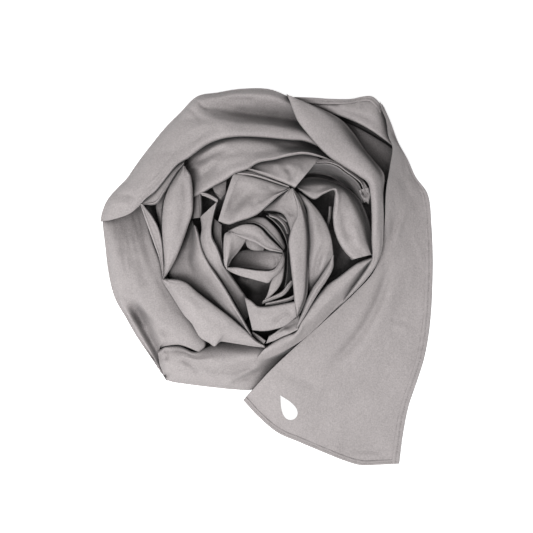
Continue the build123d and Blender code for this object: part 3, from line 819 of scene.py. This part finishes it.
def build_under_layer():
    """The lowest layer of cloth, which closes the coil from below, in a copy of the cloth darkened as painted
    shade.
    """
    rim = spline(UNDER_RIM, 120)
    grid = np.array([rim * (1 - share) + UP * UNDER_HEIGHT for share in np.linspace(0, UNDER_CLOSED, 60)])
    x, y = grid[..., 0], grid[..., 1]
    broad = smooth_noise(x / 24 + 30, y / 24 + 30, UNDER_SEED)
    fine = smooth_noise(x / 9 + 30, y / 13 + 30, UNDER_SEED + 1)
    rumple = broad + 0.5 * fine
    inside = np.clip((1 - np.hypot(x, y) / UNDER_RUMPLED) * 4, 0, 1)
    grid[..., 2] += RISE * inside * (UNDER_RISE + UNDER_RISE * rumple)
    settle(grid_object("under_layer_sheet", grid, painted_shade_cloth), "coil", ["under_layer"])


build_under_layer()


# ---------------------------------------------------------------- the free end
# Lines across the free end, from the corner by the collar to the hemmed end: the edge
# beside the coil, then the hemmed edge.
ACROSS = [
    ((186, 216, 28), (190, 211, 26)), ((193, 190, 36), (200, 188, 25)), ((196, 168, 39), (211, 160, 16)),
    ((202, 152, 43), (226, 134, 8)), ((198, 122, 46), (238, 108, 3)), ((192, 85, 46), (256, 82, 2)),
    ((190, 40, 42), (262, 32, 2)), ((186, -2, 36), (264, -16, 2)), ((173, -37, 31), (263, -64, 2)),
    ((147, -66, 27), (261, -100, 2)), ((126, -86, 27), (257, -135, 2)), ((92, -117, 27), (250, -170, 2)),
    ((57, -148, 27), (239, -204, 2)), ((20, -183, 24), (227, -240, 2)), ((-2, -207, 17), (219, -280, 2)),
    ((-22, -230, 6), (213, -326, 2)),
]
FIRST_BEND, SEAM, SECOND_BEND = 10, 11, 12     # the lines across that the two bends and the seam lie on
END_EDGE = [(-22, -230, 6), (0, -254, 4), (30, -279, 3), (62, -293, 2), (100, -309, 2), (130, -321, 2),
            (155, -328, 2), (182, -327.5, 2), (213, -326, 2)]
FREE_END_CREASES = [    # as press takes them
    ([(232, 66), (220, 47), (211, 28), (204, 0)], 5, 3.2, (0.4, 0.4)),
    ([(214, 66), (206, 40), (200, 6)], 7, -3.0, (0.4, 0.4)),
    ([(203, -5), (192, -45), (178, -85), (160, -118), (143, -142), (122, -165), (98, -190)], 8, -5.0),
    ([(216, -20), (202, -66), (186, -106), (162, -146), (132, -178)], 12, 2.4),
    ([(199, -111), (212, -109), (226, -111)], 3, -1.2), ([(205, -118), (216, -120), (226, -118)], 3, 1.0),
    ([(118, -300), (150, -303), (190, -298)], 10, -3.6), ([(130, -314), (160, -312), (190, -314)], 6, 1.6),
    ([(30, -186), (60, -196), (96, -214)], 8, -1.6), ([(200, 120), (226, 90), (240, 60)], 9, -1.8),
]
SIDE_SAMPLES = 64
SIDE_SAG = 1.5              # how quickly the sheet falls from the coil to the floor
FREE_END_STEP = 2.5         # spacing of its mesh along it
FREE_END_SEED, SIDE_HEM_SEED, END_HEM_SEED, COLLAR_HEM_SEED = 700, 40, 50, 60
TURNED_DOWN = ((0.93, 3.0), (0.6, 0.6), (0.3, -0.2), (0.1, -0.6))    # share of the drop, step inwards

HEM_WIDTH, END_HEM_WIDTH, COLLAR_HEM_WIDTH = 11.0, 7.0, 9.0
# Across a hem, from its sewn edge round the fold to the underside: share of the width in
# from the edge, height, and how much of the puckering shows.
HEM_PROFILE = ((1.06, -0.3, 0), (1.0, 0.5, 0.2), (0.86, 0.9, 0.5), (0.66, 1.2, 0.6), (0.48, 0.7, 0.25),
               (0.3, 1.0, 0.5), (0.06, 1.0, 0.2), (-0.01, 0.75, 0), (-0.03, 0.1, 0), (0.03, -0.5, 0),
               (0.15, -0.9, 0))
SEAM_SHARE, SEAM_LIFT = 0.48, 0.65    # where a hem's stitches lie: share of its width, height
STITCH, STITCH_GAP, STITCH_RADIUS = 2.4, 1.4, 0.32
STITCH_PROFILE = ((0.0, 0.15), (0.2, 0.8), (0.5, 1.0), (0.8, 0.8), (1.0, 0.15))    # share along, girth
STITCH_SIDES = 6


def free_end_grid():
    """The whole free end as one sheet: (across, along, 3), and where each line across falls."""
    share = np.linspace(0, 1, SIDE_SAMPLES)[:, None]
    lines = []
    for left, right in np.array(ACROSS, float):
        line = left + (right - left) * share
        line[:, 2] = right[2] + (left[2] - right[2]) * (1 - share[:, 0]) ** SIDE_SAG
        lines.append(line)
    lines[-1] = spline(END_EDGE, SIDE_SAMPLES)
    spans = [max(5, int(np.linalg.norm((b - a)[SIDE_SAMPLES // 2]) / FREE_END_STEP))
             for a, b in zip(lines, lines[1:])]
    grid = joined(lines, spans).transpose(1, 0, 2)
    grid[..., 2] *= RISE
    for crease in FREE_END_CREASES:
        grid = press(grid, *crease)
    return wrinkle(grid, FREE_END_SEED, 0.9, long=70, short=26), np.concatenate([[0], np.cumsum(spans)])


def with_folded_edge(grid):
    """The sheet with the edge beside the coil turned down over the layer beneath."""
    edge = grid[0]
    inward = unit((grid[3] - edge) * PLAN)
    rows = []
    for drop, back in TURNED_DOWN:
        row = edge + inward * back
        row[:, 2] -= (edge[:, 2] - FLOOR_CLEAR) * drop
        rows.append(row)
    return np.concatenate([np.array(rows), grid])


def hem_grid(edge, neighbour, width, seed):
    """A turned hem on a sheet's edge: a puckered band that rolls round the edge."""
    inward = unit(neighbour - edge)
    walk = walked(edge)
    pucker = smooth_noise(walk / 5.5, walk * 0, seed) + 0.6 * smooth_noise(walk / 2.7, walk * 0, seed + 1)
    keys = [edge + inward * width * share + UP * (lift + waver * pucker[:, None])
            for share, lift, waver in HEM_PROFILE]
    return joined(keys, [2] * (len(keys) - 1))


def stitch_row(name, line):
    """A row of short stitches that sit on a line, as one object."""
    walk = walked(line)
    starts = np.arange(STITCH, walk[-1] - STITCH, STITCH + STITCH_GAP)
    sides, last = STITCH_SIDES, (len(STITCH_PROFILE) - 1) * STITCH_SIDES
    verts, faces = [], []
    for start in starts:
        a, b = (np.array([np.interp(at, walk, line[:, k]) for k in range(3)])
                for at in (start, start + STITCH))
        cross = np.cross(UP, unit(b - a))
        base = len(verts)
        for share, girth in STITCH_PROFILE:
            middle = a + (b - a) * share + UP * 0.25 * girth
            for turn in np.arange(sides) * 2 * math.pi / sides:
                ring = (cross * math.cos(turn) + UP * math.sin(turn)) * STITCH_RADIUS * girth
                verts.append((middle + ring) * MM)
        for first in range(base, base + last, sides):
            for side in range(sides):
                p, q = first + side, first + (side + 1) % sides
                faces.append((p, q, q + sides, p + sides))
        faces.append(tuple(base + side for side in reversed(range(sides))))
        faces.append(tuple(base + last + side for side in range(sides)))
    mesh = bpy.data.meshes.new(name)
    mesh.from_pydata(verts, [], faces)
    mesh.polygons.foreach_set("use_smooth", [True] * len(mesh.polygons))
    mesh.materials.append(thread)
    return placed(name, mesh)


# The free end's two lengths: the bodies each one joins, the line it bends about, and the
# endings of the CAD nodes it stands for.
LENGTHS = {"upper": (("coil", "tail_middle"), FIRST_BEND, ("root", "middle")),
           "lower": (("tail_middle", "tail_end"), SECOND_BEND, ("middle", "end"))}


def settle_length(piece, part, node):
    """Bake a piece of one length of the free end into place, and hide the CAD nodes it stands for."""
    bodies, bend, endings = LENGTHS[part]
    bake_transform(piece)
    stand_for([f"{node}_{ending}" for ending in endings])


def build_side(grid, seam):
    """The free end's cloth, its side hem and its side stitching, in two lengths."""
    sheet = with_folded_edge(grid)
    edge, inside = grid[-1], grid[-4]
    hem = hem_grid(edge, inside, HEM_WIDTH, SIDE_HEM_SEED)
    seam_line = edge + unit(inside - edge) * HEM_WIDTH * SEAM_SHARE + UP * SEAM_LIFT
    for part, rows in (("upper", slice(0, seam + 1)), ("lower", slice(seam, None))):
        settle_length(grid_object(f"free_end_{part}", sheet[:, rows], cloth), part, "tail")
        settle_length(grid_object(f"side_hem_{part}_band", hem[:, rows], hem_cloth), part, "side_hem")
        settle_length(stitch_row(f"side_stitches_{part}", seam_line[rows]), part, "side_stitching")


def build_end_hem(grid):
    """The hem across the free end and its stitching."""
    edge, inside = grid[:, -1], grid[:, -4]
    hem = hem_grid(edge, inside, END_HEM_WIDTH, END_HEM_SEED)
    settle(grid_object("end_hem_band", hem, hem_cloth), "tail_end", ["end_hem"])
    seam_line = edge + unit(inside - edge) * END_HEM_WIDTH * SEAM_SHARE + UP * SEAM_LIFT
    settle(stitch_row("end_stitches", seam_line), "tail_end", ["end_stitching"])


free_end, stations = free_end_grid()
build_side(free_end, stations[SEAM])
build_end_hem(free_end)


# ---------------------------------------------------------------- collar hem and other stitching
COLLAR_EDGE = [(54, 227, 24.5), (80, 226.3, 22.5), (110, 224.5, 20.5), (140, 224.5, 20.5), (158, 228, 22.5),
               (171, 228, 24.5), (183, 217.5, 25.5), (189, 207, 26)]
COLLAR_INSIDE = [(58, 216, 23), (82, 216, 25), (110, 214, 26), (140, 214, 28.5), (158, 216, 30),
                 (168, 216, 31), (176, 208, 31), (181, 200, 31)]
COLLAR_SAMPLES = 70
COLLAR_SEAM_IN, COLLAR_SEAM_LIFT = 4.3, 0.7
FOLD_STITCHING = [    # name, the fold it lies on, its body, its plan path
    ("back_petal_stitches", "large_back_petal", "coil",
     [(-27, 107), (-34, 92), (-40, 76), (-46, 60), (-51, 46)]),
    ("back_edge_stitches", "back_petal", "coil", [(8, 114), (26, 107), (44, 100)]),
    ("core_top_stitches", "core_top_flap", "core", [(2, 25), (11, 14), (20, 5), (30, -3)]),
    ("core_inner_stitches", "core_inner_sheet", "core", [(26, -9), (26.5, -19), (25, -30)]),
]


def heights_on(grid, flat):
    """The height of a sheet at each plan point, from its nearest grid points."""
    sheet = grid.reshape(-1, 3)
    heights = []
    for point in flat:
        gap = np.linalg.norm(sheet[:, :2] - point[:2], axis=1) - 0.02 * sheet[:, 2]
        near = np.argsort(gap)[:5]
        weight = 1 / (gap[near] - gap[near].min() + 0.5)
        heights.append((sheet[near, 2] * weight).sum() / weight.sum())
    return np.array(heights)


def build_fold_stitching():
    """Rows of stitches where the towel's hemmed edges come up among the folds."""
    for name, fold, body, points in FOLD_STITCHING:
        line = spline([(x, y, 0) for x, y in points], 40)
        line[:, 2] = heights_on(fold_grids[fold], line) + STITCH_RADIUS * 0.5
        settle(stitch_row(name, line), body, [])


def build_collar_hem():
    """The hem along the collar's top edge and its row of stitches."""
    edge, inside = (spline(line, COLLAR_SAMPLES) * (1, 1, RISE) for line in (COLLAR_EDGE, COLLAR_INSIDE))
    hem = hem_grid(edge, inside, COLLAR_HEM_WIDTH, COLLAR_HEM_SEED)
    settle(grid_object("collar_hem_band", hem, hem_cloth), "coil", ["collar_hem"])
    seam_line = edge + unit(inside - edge) * COLLAR_SEAM_IN + UP * COLLAR_SEAM_LIFT
    settle(stitch_row("collar_stitches", seam_line), "coil", [])


build_fold_stitching()
build_collar_hem()


# ---------------------------------------------------------------- the printed mark
MARK_MIDDLE = (44.0, -240.0)
MARK_LENGTH = 42.0
MARK_TURN = math.radians(30)
MARK_POINTS, MARK_RINGS = 72, 13
PRINT_LIFT, PRINT_THICKNESS = 0.22, 0.3


def drop_outline(count):
    """A water drop, point up, one unit long: a round foot drawn in to a point."""
    turn = np.linspace(0, 2 * math.pi, count, endpoint=False)
    return np.column_stack([0.36 * np.sin(turn) * np.sin(turn / 2) ** 1.3, 0.5 * np.cos(turn)])


def build_mark(grid):
    """A plain white water drop printed near the hemmed corner."""
    outline = drop_outline(MARK_POINTS)
    rings = np.linspace(0, 1, MARK_RINGS + 1)[1:]
    flat = np.concatenate([[(0.0, 0.0)]] + [outline * ring for ring in rings]) * MARK_LENGTH
    cos, sin = math.cos(MARK_TURN), math.sin(MARK_TURN)
    flat = flat @ np.array([[cos, sin], [-sin, cos]]) + MARK_MIDDLE
    verts = np.column_stack([flat, heights_on(grid, flat) + PRINT_LIFT])
    steps = [(k, (k + 1) % MARK_POINTS) for k in range(MARK_POINTS)]
    faces = [(0, 1 + p, 1 + q) for p, q in steps]
    for ring in range(MARK_RINGS - 1):
        first = 1 + ring * MARK_POINTS
        after = first + MARK_POINTS
        faces += [(first + p, after + p, after + q, first + q) for p, q in steps]
    piece = layer_object("printed_drop", verts, faces, PRINT_THICKNESS)
    piece.data.materials.append(screen_print)
    settle(piece, "tail_end", ["corner_mark"])


build_mark(free_end)


# ---------------------------------------------------------------- floor, light and camera
VIEW_WIDTH = 0.7995                    # how much of the floor the picture shows, metres
VIEW_MIDDLE = (0.01275, -0.02775)
VIEW_LEVEL = 0.035                     # height at which that width is shown
CAMERA_HEIGHT = 4.0
SENSOR = 36.0
FLOOR_HALF = 30.0                      # far enough that no view from the side meets its edge
FLOOR_WHITE = 0.92
FLOOR_GLOW, FLOOR_GLOW_SEEN = 0.35, 0.8      # on the towel, and as seen from the camera
STUDIO_LIGHT = 0.16
LAMPS = [("key", (-1.05, -1.3, 2.7), 1.3, 83.0), ("top", (-0.2, -0.2, 2.8), 1.6, 20.0)]   # place, size, power


def build_floor():
    """A plain white floor, lifted a little by its own light so that shadows stay faint."""
    half = FLOOR_HALF
    mesh = bpy.data.meshes.new("floor")
    corners = [(-half, -half, 0), (half, -half, 0), (half, half, 0), (-half, half, 0)]
    mesh.from_pydata(corners, [], [(0, 1, 2, 3)])
    material, make, link, shader = new_material("floor_white", 0.5)
    shader.inputs["Base Color"].default_value = (FLOOR_WHITE, FLOOR_WHITE, FLOOR_WHITE, 1)
    shader.inputs["Roughness"].default_value = 0.9
    shader.inputs["Emission Color"].default_value = (1, 1, 1, 1)
    glow = spread(make, link, make("LightPath"), FLOOR_GLOW, FLOOR_GLOW_SEEN)
    link(glow, "Result", shader, "Emission Strength")
    mesh.materials.append(material)
    placed("floor", mesh)


def build_light():
    """Soft light from all round, with the main light from the front left."""
    world = bpy.data.worlds.new("studio")
    bpy.context.scene.world = world
    world.use_nodes = True
    background = world.node_tree.nodes["Background"]
    background.inputs["Color"].default_value = (1, 1, 1, 1)
    background.inputs["Strength"].default_value = STUDIO_LIGHT
    for name, place, size, power in LAMPS:
        lamp = bpy.data.lights.new(name, "AREA")
        lamp.size = size
        lamp.energy = power
        holder = placed(name, lamp)
        holder.location = place
        holder.rotation_euler = (-Vector(place)).to_track_quat("-Z", "Y").to_euler()


def build_camera():
    """Straight above and square on, with the whole towel and a margin in view."""
    camera = bpy.data.cameras.new("camera")
    camera.sensor_width = SENSOR
    camera.lens = SENSOR * (CAMERA_HEIGHT - VIEW_LEVEL) / VIEW_WIDTH
    holder = placed("camera", camera)
    holder.location = VIEW_MIDDLE + (CAMERA_HEIGHT,)
    bpy.context.scene.camera = holder
    bpy.context.scene.view_settings.view_transform = "Standard"


build_floor()
build_light()
build_camera()
